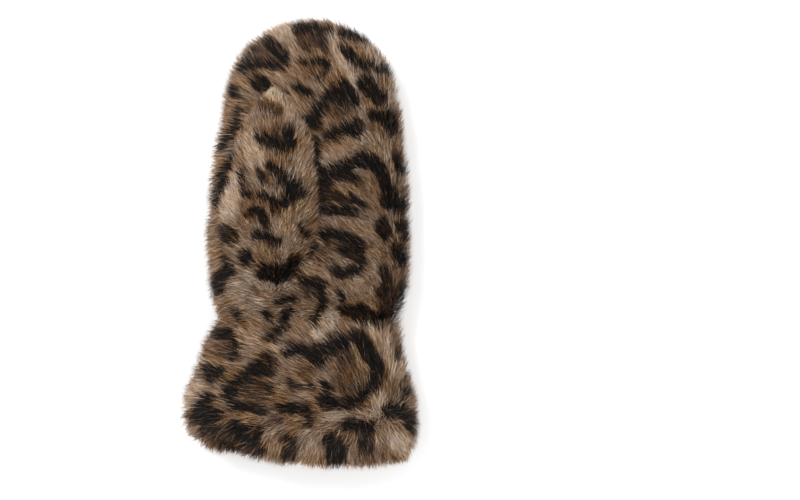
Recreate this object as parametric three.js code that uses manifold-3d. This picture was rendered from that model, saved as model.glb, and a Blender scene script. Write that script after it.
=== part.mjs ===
// A faux-fur mitten for the left hand, lying palm up with its thumb folded over the palm.
// Millimetres. +X is the little-finger side, +Y points to the fingertips and +Z is up.
// The origin is on the surface that the mitten lies on, below the middle of its outline.
import * as THREE from "three";
import { mergeVertices } from "three/addons/utils/BufferGeometryUtils.js";
import Module from "manifold-3d";

const wasm = await Module();
wasm.setup();

// Lengths and places along the mitten
const WRIST_Y = -48;
const HAND_LENGTH = 185;
const CUFF_LENGTH = 88;
const HEM_BOW = 14;
const HEM_SKEW = 0.45;

// Widths and heights of the fur's compact form, on its skin
const HAND_WIDTH = 121;
const CUFF_WIDTH = 140;
const WRIST = { left: 46, right: 58, top: 32.5, base: 2.2 };
const PALM_HEIGHT = 42;
const CUFF_HEIGHT = 44;
const SIDE_SEAM_HEIGHT = 18;

// Thickness of pile, backing and padding together
const PALM_WALL = 11;
const BACK_WALL = 7;
const SIDE_WALL = 12;
const TIP_WALL = 13;
const CUFF_WALL = 10.5;
const CUFF_SIDE_WALL = 12;
const WRIST_WALL = 7.5;
const WRIST_SIDE_WALL = 11;

// Thumb and its gusset
const THUMB_SEAM = 85;
const THUMB_LENGTH = 58;
const THUMB_WIDTH = 52;
const THUMB_OFFSET = 18;
const THUMB_TOP = 64;
const THUMB_BASE = 34;
const THUMB_WALL = 7.5;
const THUMB_SIDE_WALL = 7;
const GUSSET_LENGTH = 71;
const GUSSET_FLOOR = 20;

// Elastic gathers at the wrist
const GATHER_COUNT = 10;
const GATHER_DEPTH = 2.4;
const GATHER_REACH = 11;

// Locks of fur, fused to the skin
const LOCK = { length: 23, width: 17, thickness: 7, lift: 0.12, pitch: 22, sunk: 3.5 };
const LOCK_SIDES = 4;
const LOCK_ROOM = 3;
const HEM_ROW = 0.8;

// Where each piece's row of repeatable numbers for its locks begins
const SEEDS = { palm: 1, back: 501, cuff: 901, gusset: 1301, thumb: 1701 };

// No lock is set where the skin's outward direction points down more than this
const STEEPEST = -0.7;

// Corners closer than this are one corner
const CRUMB = 0.02;

// Leather patch on the back of the cuff
const PATCH = { length: 37, width: 18, thickness: 1.6, corner: 1.5, along: 0.37, across: 2 };
const PATCH_MARGIN = 0.6;

// Gaps between neighbouring pieces, and how far a cutting solid runs past what it cuts
const GAP = 0.3;
const OVERRUN = 30;

// How square a section is: 2 is an ellipse. The underside lies flat over this share more, and
// would hang this much lower if the surface that it lies on didn't press it flat.
const SQUARENESS = 2.35;
const FLATTENED = 1.16;
const PRESSED = 1.5;

// Each row is a section. along is a share of the hand's length from the wrist seam, waist is how
// much of the wrist's own section it takes, left and right are shares of half the hand's width,
// top is a share of the palm's height and base of the side seam's height.
const HAND_SECTIONS = [
  { along: 0.0, waist: 1.0, left: 0.8, right: 1.0, top: 0.8, base: 0.1 },
  { along: 0.045, waist: 0.42, left: 0.82, right: 1.05, top: 0.93, base: 0.03 },
  { along: 0.12, waist: 0.0, left: 0.865, right: 1.075, top: 0.99, base: 0.0 },
  { along: 0.25, waist: 0.0, left: 0.905, right: 1.095, top: 1.0, base: 0.0 },
  { along: 0.42, waist: 0.0, left: 0.885, right: 1.075, top: 1.0, base: 0.0 },
  { along: 0.6, waist: 0.0, left: 0.8, right: 1.03, top: 1.0, base: 0.0 },
  { along: 0.75, waist: 0.0, left: 0.71, right: 0.965, top: 0.97, base: 0.0 },
  { along: 0.85, waist: 0.0, left: 0.645, right: 0.9, top: 0.91, base: 0.0 },
  { along: 0.905, waist: 0.0, left: 0.545, right: 0.78, top: 0.85, base: 0.05 },
  { along: 0.95, waist: 0.0, left: 0.4, right: 0.66, top: 0.76, base: 0.18 },
  { along: 0.985, waist: 0.0, left: 0.2, right: 0.46, top: 0.62, base: 0.48 },
  { along: 1.0, waist: 0.0, left: 0.0, right: 0.26, top: 0.46, base: 0.95 },
];

// The same for the cuff, from the wrist seam to the hem.
const CUFF_SECTIONS = [
  { along: 0.0, waist: 1.0, left: 0.68, right: 0.82, top: 0.76, base: 0.1 },
  { along: 0.08, waist: 0.5, left: 0.78, right: 0.845, top: 0.86, base: 0.03 },
  { along: 0.2, waist: 0.0, left: 0.83, right: 0.86, top: 0.94, base: 0.0 },
  { along: 0.42, waist: 0.0, left: 0.915, right: 0.93, top: 1.0, base: 0.0 },
  { along: 0.62, waist: 0.0, left: 0.99, right: 1.0, top: 1.0, base: 0.0 },
  { along: 0.82, waist: 0.0, left: 1.0, right: 1.0, top: 1.0, base: 0.0 },
  { along: 0.94, waist: 0.0, left: 0.97, right: 0.98, top: 0.97, base: 0.0 },
  { along: 1.0, waist: 0.0, left: 0.91, right: 0.94, top: 0.88, base: 0.12 },
];

// The gusset, from its low end to the thumb seam. along is a share of its length, shift of the
// thumb's offset, half of half the thumb's width, and top of the thumb's top at the seam.
// base is how far the underside has come up from the gusset's floor to the thumb's own base.
const GUSSET_SECTIONS = [
  { along: 0.0, shift: 0.9, half: 0.24, top: 0.56, base: 0.0 },
  { along: 0.1, shift: 0.93, half: 0.45, top: 0.66, base: 0.0 },
  { along: 0.3, shift: 1.02, half: 0.76, top: 0.79, base: 0.0 },
  { along: 0.52, shift: 1.1, half: 0.96, top: 0.9, base: 0.05 },
  { along: 0.78, shift: 1.12, half: 1.05, top: 0.97, base: 0.7 },
  { along: 1.0, shift: 1.0, half: 0.95, top: 1.0, base: 1.0 },
];

// The thumb, from its seam to its tip, with base as a share of the way up to the thumb's middle.
const THUMB_SECTIONS = [
  { along: 0.0, shift: 1.0, half: 0.95, top: 1.0, base: 0.0 },
  { along: 0.3, shift: 0.9, half: 0.82, top: 1.01, base: 0.02 },
  { along: 0.6, shift: 0.82, half: 0.65, top: 1.0, base: 0.05 },
  { along: 0.82, shift: 0.78, half: 0.47, top: 0.96, base: 0.2 },
  { along: 0.95, shift: 0.77, half: 0.26, top: 0.89, base: 0.55 },
  { along: 1.0, shift: 0.77, half: 0.0, top: 0.82, base: 1.0 },
];

// Which way the fur lies from root to tip, in degrees turned from +X towards +Y. On the cuff it
// changes at the right-hand edge, and its last row hangs over the hem.
const COMB = { palm: 118, back: 80, cuff: 150, cuffEdge: -50, hem: 268, gusset: 108, thumb: 98 };
const CUFF_EDGE_X = 52;

const FUR = { color: 0x8d6a4b, roughness: 0.85, metalness: 0.0 };
const LEATHER = { color: 0x6b4a35, roughness: 0.6, metalness: 0.0 };

// A value of a table's column at a place along it, on a smooth curve through the rows.
function between(rows, column, at) {
  const last = rows.length - 1;
  let k = 0;
  while (k < last - 1 && at > rows[k + 1].along) k++;
  const slope = (i) => {
    const before = rows[Math.max(i - 1, 0)];
    const after = rows[Math.min(i + 1, last)];
    return (after[column] - before[column]) / (after.along - before.along);
  };
  const step = rows[k + 1].along - rows[k].along;
  const t = THREE.MathUtils.clamp((at - rows[k].along) / step, 0, 1);
  const [a, b] = [rows[k][column], rows[k + 1][column]];
  const [ma, mb] = [slope(k) * step, slope(k + 1) * step];
  return (
    (2 * t ** 3 - 3 * t ** 2 + 1) * a +
    (t ** 3 - 2 * t ** 2 + t) * ma +
    (3 * t ** 2 - 2 * t ** 3) * b +
    (t ** 3 - t ** 2) * mb
  );
}

const middleOf = (ring) =>
  ring.reduce((sum, p) => sum.add(p), new THREE.Vector3()).divideScalar(ring.length);

// A closed body through rings of points, with a point that closes each end.
function loft(rings, first = middleOf(rings[0]), last = middleOf(rings.at(-1))) {
  const sides = rings[0].length;
  const points = rings.flat();
  const faces = [];
  for (let i = 0; i + 1 < rings.length; i++)
    for (let j = 0; j < sides; j++) {
      const [a, b] = [i * sides + j, i * sides + ((j + 1) % sides)];
      faces.push(a, a + sides, b, b, a + sides, b + sides);
    }
  const [start, end] = [points.length, points.length + 1];
  const lastRing = (rings.length - 1) * sides;
  for (let j = 0; j < sides; j++) {
    const next = (j + 1) % sides;
    faces.push(start, j, next, end, lastRing + next, lastRing + j);
  }
  points.push(first, last);
  const geometry = new THREE.BufferGeometry().setFromPoints(points);
  geometry.setIndex(faces);
  return geometry;
}

// three.js geometry as a solid for joins and cuts
function solid(geometry) {
  const bare = geometry.clone();
  bare.deleteAttribute("normal");
  bare.deleteAttribute("uv");
  const merged = mergeVertices(bare, 1e-4);
  return new wasm.Manifold(
    new wasm.Mesh({
      numProp: 3,
      vertProperties: new Float32Array(merged.attributes.position.array),
      triVerts: new Uint32Array(merged.index.array),
    }),
  );
}

// A box between two corners, for cutting
function block(low, high) {
  const size = high.map((value, axis) => value - low[axis]);
  const centre = high.map((value, axis) => (value + low[axis]) / 2);
  return solid(new THREE.BoxGeometry(...size).translate(...centre));
}

// A named mesh of the largest body of a solid, without crumbs that a cut left loose
function piece(name, made, look) {
  const bodies = made.decompose();
  const largest = bodies.reduce((best, body) => (body.volume() > best.volume() ? body : best));
  const mesh = largest.getMesh();
  const cut = new THREE.BufferGeometry();
  cut.setAttribute("position", new THREE.BufferAttribute(mesh.vertProperties, 3));
  cut.setIndex(new THREE.BufferAttribute(mesh.triVerts, 1));
  const geometry = mergeVertices(cut, CRUMB);
  const corners = Array.from(geometry.index.array);
  const whole = [];
  for (let i = 0; i < corners.length; i += 3) {
    const face = corners.slice(i, i + 3);
    if (new Set(face).size === 3) whole.push(...face);
  }
  geometry.setIndex(whole);
  geometry.computeVertexNormals();
  const named = new THREE.Mesh(geometry, new THREE.MeshStandardMaterial(look));
  named.name = name;
  return named;
}

// One point of a section. turn runs from the right-hand seam over the top to the left and under.
function sectionPoint(section, turn) {
  const [c, s] = [Math.cos(turn), Math.sin(turn)];
  const round = (value) => Math.abs(value) ** (2 / SQUARENESS);
  const x = section.half * Math.sign(c) * round(c);
  const under = Math.min(1, FLATTENED * round(s));
  const z =
    s >= 0
      ? section.seam + (section.top - section.seam) * round(s)
      : section.seam - (section.seam - section.base) * under;
  return new THREE.Vector3(section.middle + x, section.y, z);
}

// The hand's and the cuff's sizes on the skin, and in the hollow
const HAND_SKIN = {
  rows: HAND_SECTIONS,
  length: HAND_LENGTH,
  half: HAND_WIDTH / 2,
  top: PALM_HEIGHT,
  floor: -PRESSED,
  wrist: WRIST,
  bow: 0,
  gathers: GATHER_DEPTH,
};
const WRIST_HOLLOW = {
  left: WRIST.left - WRIST_SIDE_WALL,
  right: WRIST.right - WRIST_SIDE_WALL,
  top: WRIST.top - WRIST_WALL,
  base: WRIST.base,
};
const HAND_HOLLOW = {
  ...HAND_SKIN,
  length: HAND_LENGTH - TIP_WALL,
  half: HAND_WIDTH / 2 - SIDE_WALL,
  top: PALM_HEIGHT - PALM_WALL,
  floor: BACK_WALL,
  wrist: WRIST_HOLLOW,
  gathers: 0,
};
const CUFF_SKIN = {
  rows: CUFF_SECTIONS,
  length: -CUFF_LENGTH,
  half: CUFF_WIDTH / 2,
  top: CUFF_HEIGHT,
  floor: -PRESSED,
  wrist: WRIST,
  bow: HEM_BOW,
  gathers: GATHER_DEPTH,
};
const CUFF_HOLLOW = {
  ...CUFF_SKIN,
  half: CUFF_WIDTH / 2 - CUFF_SIDE_WALL,
  top: CUFF_HEIGHT - CUFF_WALL,
  floor: BACK_WALL,
  wrist: WRIST_HOLLOW,
  gathers: 0,
};

// A section of the hand or the cuff at a share of its length
function bodySection(form, along) {
  const column = (name) => between(form.rows, name, along);
  const waist = THREE.MathUtils.clamp(column("waist"), 0, 1);
  const mix = (own, wrist) => THREE.MathUtils.lerp(own, wrist, waist);
  const skinTop = form.rows === HAND_SECTIONS ? PALM_HEIGHT : CUFF_HEIGHT;
  const rise = (column("top") * skinTop - SIDE_SEAM_HEIGHT) / (skinTop - SIDE_SEAM_HEIGHT);
  const drop = mix(column("base"), WRIST.base / SIDE_SEAM_HEIGHT);
  const left = mix(column("left") * form.half, form.wrist.left);
  const right = mix(column("right") * form.half, form.wrist.right);
  return {
    middle: (right - left) / 2,
    half: (right + left) / 2,
    top: mix(SIDE_SEAM_HEIGHT + (form.top - SIDE_SEAM_HEIGHT) * rise, form.wrist.top),
    base: form.floor + (SIDE_SEAM_HEIGHT - form.floor) * drop,
    seam: SIDE_SEAM_HEIGHT,
    y: WRIST_Y + along * form.length,
  };
}

// A point on the hand or cuff, with the wrist's gathers and the hem's bow
function bodyPoint(form, along, turn) {
  const section = bodySection(form, along);
  const point = sectionPoint(section, turn);
  const fromWrist = (section.y - WRIST_Y) / GATHER_REACH;
  const fold = 0.5 - 0.5 * Math.cos(GATHER_COUNT * turn);
  const inward = form.gathers * fold * Math.exp(-(fromWrist ** 2));
  const shrink = 1 - inward / Math.hypot(point.x - section.middle, point.z - section.seam);
  point.x = section.middle + (point.x - section.middle) * shrink;
  point.z = section.seam + (point.z - section.seam) * shrink;
  const across = point.x / form.half;
  point.y += along * form.bow * ((across - HEM_SKEW) / (1 + HEM_SKEW)) ** 2;
  return point;
}

function bodyRings(form, places, sides) {
  const turns = Array.from({ length: sides }, (_, j) => (2 * Math.PI * (j + 0.5)) / sides);
  const rings = places.map((along) => turns.map((turn) => bodyPoint(form, along, turn)));
  return form.length > 0 ? rings : rings.reverse();
}

// The same ring again, further out along the mitten, so that a cut runs past the end
function carriedOn(ring, distance) {
  return ring.map((point) => point.clone().setY(point.y + distance));
}

// The same ring drawn in to under half its size
function drawnIn(ring) {
  const middle = middleOf(ring);
  return ring.map((point) => point.clone().lerp(middle, 0.6));
}

// A section of the gusset or the thumb. grown adds to it all round.
const thumbSeamY = WRIST_Y + THUMB_SEAM;
const thumbMiddle = (THUMB_TOP + THUMB_BASE) / 2;

function thumbSection(form, along, grown) {
  const column = (name) => between(form.rows, name, along);
  const upTo = form.rows === THUMB_SECTIONS ? thumbMiddle : THUMB_BASE;
  const from = form.rows === THUMB_SECTIONS ? THUMB_BASE : GUSSET_FLOOR;
  const top = column("top") * THUMB_TOP - form.wall + grown;
  const base = THREE.MathUtils.lerp(from, upTo, column("base")) + form.floorWall - grown;
  const half = (column("half") * THUMB_WIDTH) / 2;
  return {
    middle: -column("shift") * THUMB_OFFSET,
    half: Math.max(half - form.sideWall + grown, 0.01),
    top,
    base,
    seam: (top + base) / 2,
    y: form.start + along * form.length,
  };
}

const GUSSET_SKIN = {
  rows: GUSSET_SECTIONS,
  start: thumbSeamY - GUSSET_LENGTH,
  length: GUSSET_LENGTH,
  wall: 0,
  sideWall: 0,
  floorWall: 0,
};
const THUMB_SKIN = {
  ...GUSSET_SKIN,
  rows: THUMB_SECTIONS,
  start: thumbSeamY,
  length: THUMB_LENGTH,
};
const GUSSET_HOLLOW = { ...GUSSET_SKIN, wall: THUMB_WALL, sideWall: THUMB_SIDE_WALL };
const THUMB_HOLLOW = {
  ...THUMB_SKIN,
  length: THUMB_LENGTH - THUMB_SIDE_WALL,
  wall: THUMB_WALL,
  sideWall: THUMB_SIDE_WALL,
  floorWall: THUMB_WALL,
};

function thumbPoint(form, along, turn, grown = 0) {
  return sectionPoint(thumbSection(form, along, grown), turn);
}

function thumbRings(form, places, sides, grown = 0) {
  const turns = Array.from({ length: sides }, (_, j) => (2 * Math.PI * j) / sides);
  return places.map((along) => turns.map((turn) => thumbPoint(form, along, turn, grown)));
}

// Evenly spread places from one share of a length to another
function steps(from, to, count) {
  return Array.from({ length: count + 1 }, (_, i) => from + ((to - from) * i) / count);
}

// A repeatable number from 0 to 1 for each lock
function chance(seed) {
  const value = Math.sin(seed * 12.9898) * 43758.5453;
  return value - Math.floor(value);
}

// One lock: a flat tapering tuft, rooted under the skin, that leans off it along the comb
function lock(root, normal, comb, seed) {
  const turned = THREE.MathUtils.degToRad(comb + 24 * (chance(seed) - 0.5));
  const lie = new THREE.Vector3(Math.cos(turned), Math.sin(turned), 0);
  lie.addScaledVector(normal, -lie.dot(normal));
  if (lie.length() < 0.35) lie.add(new THREE.Vector3(0, 0, 0.5 * Math.sign(normal.z || 1)));
  lie.addScaledVector(normal, -lie.dot(normal)).normalize();
  const side = new THREE.Vector3().crossVectors(lie, normal);
  const long = LOCK.length * (0.85 + 0.3 * chance(seed + 0.5));
  const at = (forward, out) =>
    root.clone().addScaledVector(lie, forward * long).addScaledVector(normal, out);
  const ring = (centre, wide, thick) =>
    Array.from({ length: LOCK_SIDES }, (_, j) => {
      const turn = (2 * Math.PI * j) / LOCK_SIDES + Math.PI / 2;
      return centre
        .clone()
        .addScaledVector(side, (Math.cos(turn) * wide) / 2)
        .addScaledVector(normal, (Math.sin(turn) * thick) / 2);
    });
  const buried = ring(at(-0.12, -LOCK.sunk), LOCK.width * 0.7, LOCK.thickness * 0.6);
  const widest = ring(at(0.38, 0), LOCK.width, LOCK.thickness);
  return loft([buried, widest], middleOf(buried), at(1, long * LOCK.lift));
}

// Rows of locks over a form's skin. keep says which roots are wanted, by place and normal.
function locksOver(pointOn, form, rows, comb, keep, seedStart) {
  const surface = (along, turn) => pointOn(form, along, turn);
  const locks = [];
  rows.forEach((along, row) => {
    const samples = steps(0, 1, 60).map((share) => surface(along, 2 * Math.PI * share));
    const around = samples.slice(1).reduce((sum, p, i) => sum + p.distanceTo(samples[i]), 0);
    const count = Math.max(3, Math.round(around / LOCK.width));
    for (let j = 0; j < count; j++) {
      const turn = (2 * Math.PI * (j + (row % 2) / 2)) / count;
      const root = surface(along, turn);
      const onward = surface(along + 0.01, turn).sub(surface(along - 0.01, turn));
      const sideways = surface(along, turn + 0.05).sub(surface(along, turn - 0.05));
      const normal = new THREE.Vector3().crossVectors(onward, sideways).normalize();
      if (form.length < 0) normal.negate();
      const seed = seedStart + row * 31 + j;
      if (keep(root, normal)) locks.push(solid(lock(root, normal, comb(root, along), seed)));
    }
  });
  return wasm.Manifold.union(locks);
}

// Places along a length, one lock pitch apart
function lockRows(length, from, to) {
  const count = Math.round(((to - from) * length) / LOCK.pitch);
  return steps(from, to, Math.max(count, 1));
}

const HAND_PLACES = [0.02, 0.05, 0.09, ...steps(0.15, 0.75, 5), 0.84, 0.9, 0.945, 0.98, 0.996];
const HAND_SIDES = 40;
const HOLLOW_SIDES = 20;
const THUMB_SIDES = 16;
const HOLLOW_PLACES = [0, 0.05, 0.12, 0.3, 0.5, 0.7, 0.82, 0.9, 0.95, 0.98];
const CUFF_PLACES = [0.04, 0.1, 0.18, 0.32, 0.5, 0.7, 0.88, 0.96, 1];
const CUFF_HOLLOW_PLACES = [0, 0.1, 0.25, 0.5, 0.75, 1];
const GUSSET_PLACES = [0, 0.1, 0.22, 0.4, 0.6, 0.8, 1];
const THUMB_PLACES = [0, 0.25, 0.5, 0.7, 0.84, 0.94, 0.985];

// Floor, and room on every side, for the blocks that part the pieces
const wide = CUFF_WIDTH + 2 * LOCK.length;
const tall = THUMB_TOP + 2 * LOCK.length;
const fingertipY = WRIST_Y + HAND_LENGTH + LOCK.length;
const hemY = WRIST_Y - CUFF_LENGTH - LOCK.length;

function handHollow() {
  const rings = bodyRings(HAND_HOLLOW, HOLLOW_PLACES, HOLLOW_SIDES);
  return solid(loft([carriedOn(rings[0], -OVERRUN), ...rings]));
}

function cuffHollow() {
  const rings = bodyRings(CUFF_HOLLOW, CUFF_HOLLOW_PLACES, HOLLOW_SIDES);
  const [mouth, wrist] = [carriedOn(rings[0], -OVERRUN), carriedOn(rings.at(-1), OVERRUN)];
  return solid(loft([mouth, ...rings, wrist]));
}

function thumbCore(grown) {
  const gusset = thumbRings(GUSSET_SKIN, GUSSET_PLACES, THUMB_SIDES, grown);
  const thumb = thumbRings(THUMB_SKIN, THUMB_PLACES.slice(1), THUMB_SIDES, grown);
  const low = carriedOn(drawnIn(gusset[0]), -grown);
  const tip = carriedOn(drawnIn(thumb.at(-1)), grown);
  return solid(loft(grown ? [low, ...gusset, ...thumb, tip] : [...gusset, ...thumb]));
}

function thumbHollow() {
  const gusset = thumbRings(GUSSET_HOLLOW, [0.16, 0.28, 0.45, 0.6, 0.78, 1], 16);
  const thumb = thumbRings(THUMB_HOLLOW, [0.3, 0.6, 0.82, 0.95], 16);
  return solid(loft([...gusset, ...thumb]));
}

function handSkin() {
  const rings = bodyRings(HAND_SKIN, HAND_PLACES, HAND_SIDES);
  const [wrist] = bodyRings(HAND_SKIN, [0], HAND_SIDES);
  return solid(loft([carriedOn(wrist, -GATHER_DEPTH), ...rings]));
}

const hand = { skin: handSkin(), hollow: handHollow() };

const moatFloor = PALM_HEIGHT - PALM_WALL / 2;
const thumbCutter = thumbCore(GAP);
const moat = thumbCore(LOCK_ROOM + GAP).intersect(
  block([-wide, hemY, moatFloor], [wide, fingertipY, tall]),
);
const lockRoom = thumbCore(LOCK_ROOM).intersect(
  block([-wide, hemY, moatFloor + GAP], [wide, fingertipY, tall]),
);
const thumbInside = thumbHollow();

function palmPanel() {
  const rows = lockRows(HAND_LENGTH, 0.06, 0.89);
  const above = (root) => root.z > SIDE_SEAM_HEIGHT + LOCK.thickness / 2;
  const locks = locksOver(bodyPoint, HAND_SKIN, rows, () => COMB.palm, above, SEEDS.palm);
  const half = block([-wide, WRIST_Y + GAP / 2, SIDE_SEAM_HEIGHT + GAP / 2], [wide, fingertipY, tall]);
  return hand.skin
    .add(locks)
    .subtract(hand.hollow)
    .intersect(half)
    .subtract(thumbCutter)
    .subtract(moat);
}

function backPanel() {
  const rows = lockRows(HAND_LENGTH, 0.06, 0.89);
  const side = (root, normal) =>
    root.z < SIDE_SEAM_HEIGHT - LOCK.thickness / 2 && normal.z > STEEPEST;
  const locks = locksOver(bodyPoint, HAND_SKIN, rows, () => COMB.back, side, SEEDS.back);
  const half = block([-wide, WRIST_Y + GAP / 2, 0], [wide, fingertipY, SIDE_SEAM_HEIGHT - GAP / 2]);
  return hand.skin.add(locks).subtract(hand.hollow).intersect(half);
}

function cuffPiece() {
  const [wrist] = bodyRings(CUFF_SKIN, [0], HAND_SIDES);
  const rings = bodyRings(CUFF_SKIN, CUFF_PLACES, HAND_SIDES);
  const skin = solid(loft([...rings, carriedOn(wrist, GATHER_DEPTH)]));
  const rows = [...lockRows(CUFF_LENGTH, 0.1, 0.6), HEM_ROW];
  const comb = (root, along) => {
    if (along >= HEM_ROW) return COMB.hem;
    return root.x > CUFF_EDGE_X ? COMB.cuffEdge : COMB.cuff;
  };
  const offFloor = (root, normal) => normal.z > STEEPEST;
  const locks = locksOver(bodyPoint, CUFF_SKIN, rows, comb, offFloor, SEEDS.cuff);
  const half = block([-wide, hemY, 0], [wide, WRIST_Y - GAP / 2, tall]);
  return skin.add(locks).subtract(cuffHollow()).intersect(half).subtract(patchPocket());
}

function gussetPiece() {
  const rows = lockRows(GUSSET_LENGTH, 0.15, 0.85);
  const above = (root) => root.z > moatFloor + LOCK.thickness / 2;
  const comb = () => COMB.gusset;
  const locks = locksOver(thumbPoint, GUSSET_SKIN, rows, comb, above, SEEDS.gusset);
  const made = thumbCore(0).add(locks.intersect(lockRoom));
  const half = block([-wide, hemY, 0], [wide, thumbSeamY - GAP / 2, tall]);
  return made.subtract(thumbInside).subtract(hand.hollow).intersect(half);
}

function thumbPiece() {
  const rows = lockRows(THUMB_LENGTH, 0.08, 0.86);
  const above = (root) => root.z > moatFloor + LOCK.thickness / 2;
  const comb = () => COMB.thumb;
  const locks = locksOver(thumbPoint, THUMB_SKIN, rows, comb, above, SEEDS.thumb);
  const made = thumbCore(0).add(locks.intersect(lockRoom));
  const half = block([-wide, thumbSeamY + GAP / 2, 0], [wide, fingertipY, tall]);
  return made.subtract(thumbInside).intersect(half);
}

// The patch's outline, grown all round, in the plane of the surface it lies on
const patchY = WRIST_Y - PATCH.along * CUFF_LENGTH;

function patchPlate(grown, height) {
  const [w, l] = [PATCH.length / 2 + grown, PATCH.width / 2 + grown];
  const r = PATCH.corner;
  const outline = new THREE.Shape();
  outline.absarc(w - r, l - r, r, 0, Math.PI / 2);
  outline.absarc(r - w, l - r, r, Math.PI / 2, Math.PI);
  outline.absarc(r - w, r - l, r, Math.PI, 1.5 * Math.PI);
  outline.absarc(w - r, r - l, r, 1.5 * Math.PI, 2 * Math.PI);
  const flat = { depth: height, bevelEnabled: false, curveSegments: 1 };
  return new THREE.ExtrudeGeometry(outline, flat);
}

function patchPocket() {
  const height = PATCH.thickness + GAP;
  return solid(patchPlate(PATCH_MARGIN, 2 * height).translate(PATCH.across, patchY, -height));
}

function leatherPatch() {
  const look = new THREE.MeshStandardMaterial(LEATHER);
  const named = new THREE.Mesh(patchPlate(0, PATCH.thickness), look);
  named.name = "leather_patch";
  named.position.set(PATCH.across, patchY, 0);
  return named;
}

const mitten = new THREE.Group();
mitten.add(
  piece("back_panel", backPanel(), FUR),
  piece("palm_panel", palmPanel(), FUR),
  piece("thumb_gusset", gussetPiece(), FUR),
  piece("thumb", thumbPiece(), FUR),
  piece("cuff", cuffPiece(), FUR),
  leatherPatch(),
);

// The origin goes to the bottom middle of the whole mitten.
mitten.updateMatrixWorld(true);
const outline = new THREE.Box3().setFromObject(mitten);
const middle = outline.getCenter(new THREE.Vector3());
mitten.position.set(-middle.x, -middle.y, -outline.min.z);

export default mitten;
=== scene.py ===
"""A leopard faux-fur mitten that lies palm up on white, dressed over its CAD frame."""

import math

import bmesh
import bpy
import numpy as np
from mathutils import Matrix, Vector
from mathutils.kdtree import KDTree


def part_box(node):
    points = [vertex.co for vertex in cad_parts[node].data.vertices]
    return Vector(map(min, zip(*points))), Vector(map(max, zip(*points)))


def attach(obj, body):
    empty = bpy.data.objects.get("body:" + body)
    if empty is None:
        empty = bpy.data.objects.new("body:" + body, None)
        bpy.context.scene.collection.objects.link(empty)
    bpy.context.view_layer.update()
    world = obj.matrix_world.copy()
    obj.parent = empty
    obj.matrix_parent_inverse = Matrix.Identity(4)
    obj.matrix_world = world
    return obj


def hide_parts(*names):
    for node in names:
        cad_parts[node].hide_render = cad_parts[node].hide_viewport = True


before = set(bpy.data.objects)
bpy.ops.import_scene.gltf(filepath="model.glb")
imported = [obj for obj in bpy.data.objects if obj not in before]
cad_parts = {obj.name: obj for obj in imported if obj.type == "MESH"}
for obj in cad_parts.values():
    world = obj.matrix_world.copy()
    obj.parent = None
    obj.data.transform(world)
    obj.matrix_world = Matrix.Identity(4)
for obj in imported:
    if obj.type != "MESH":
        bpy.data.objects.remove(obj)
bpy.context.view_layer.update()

# Lengths here are millimetres, in the mitten's own axes: the wrist seam is at WRIST_Y
MM = 0.001
WRIST_Y = -48.0
HAND_LENGTH = 185.0
CUFF_LENGTH = 88.0
HEM_BOW = 14.0
HEM_SKEW = 0.45
HAND_WIDTH = 121.0
CUFF_WIDTH = 140.0
PALM_HEIGHT = 42.0
CUFF_HEIGHT = 44.0
SEAM_HEIGHT = 18.0
WRIST_BASE_SHARE = 0.12
GATHERS = {"count": 10, "depth": 2.4, "reach": 11.0}
SQUARENESS = 2.35
FLATTENED = 1.16
THUMB_SEAM_Y = 37.0
THUMB_CREASE = {"depth": 2.4, "reach": 4.5}

# The pelt's knitted backing lies this far under the fur's compact form
PILE_DEPTH = 5.5
SIDE_PILE = 5.0
TIP_PILE = 3.5
THUMB_PILE = 4.0
UNDER_PILE = 3.0

# Where the hollow's wall lies, that far inside the compact form, and above the floor
HOLLOW = {"side": 12.0, "palm": 11.0, "cuff": 10.5, "tip": 13.0, "floor": 7.0}

SEAM_GAP = 0.15
PATCH_X = 2.0

# Where the mitten's own axes lie in the frame, read off the pieces there
palm_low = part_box("palm_panel")[0]
patch_low, patch_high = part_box("leather_patch")
FRAME_X = (patch_low.x + patch_high.x) / 2 / MM - PATCH_X
FRAME_Y = palm_low.y / MM - SEAM_GAP - WRIST_Y


def table(columns, *rows):
    """A table of sections as one array for each named column."""
    return dict(zip(columns.split(), np.array(rows, float).T))


# Shares of the form's size, a row for each section from the wrist seam outwards
HAND = table(
    "along waist left right top base",
    (0.0, 1.0, 0.8, 1.0, 0.8, 0.1),
    (0.045, 0.42, 0.82, 1.05, 0.93, 0.03),
    (0.12, 0.0, 0.865, 1.075, 0.99, 0.0),
    (0.25, 0.0, 0.905, 1.095, 1.0, 0.0),
    (0.42, 0.0, 0.885, 1.075, 1.0, 0.0),
    (0.6, 0.0, 0.8, 1.03, 1.0, 0.0),
    (0.75, 0.0, 0.71, 0.965, 0.97, 0.0),
    (0.85, 0.0, 0.645, 0.9, 0.91, 0.0),
    (0.905, 0.0, 0.545, 0.78, 0.85, 0.05),
    (0.95, 0.0, 0.4, 0.66, 0.76, 0.18),
    (0.985, 0.0, 0.2, 0.46, 0.62, 0.48),
    (1.0, 0.0, 0.0, 0.26, 0.46, 0.95),
)
CUFF = table(
    "along waist left right top base",
    (0.0, 1.0, 0.68, 0.82, 0.76, 0.1),
    (0.08, 0.5, 0.75, 0.84, 0.86, 0.03),
    (0.2, 0.0, 0.785, 0.845, 0.94, 0.0),
    (0.42, 0.0, 0.87, 0.905, 1.0, 0.0),
    (0.62, 0.0, 0.955, 0.97, 1.0, 0.0),
    (0.82, 0.0, 0.995, 0.985, 1.0, 0.0),
    (0.94, 0.0, 0.97, 0.98, 0.97, 0.0),
    (1.0, 0.0, 0.91, 0.94, 0.88, 0.12),
)
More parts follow.
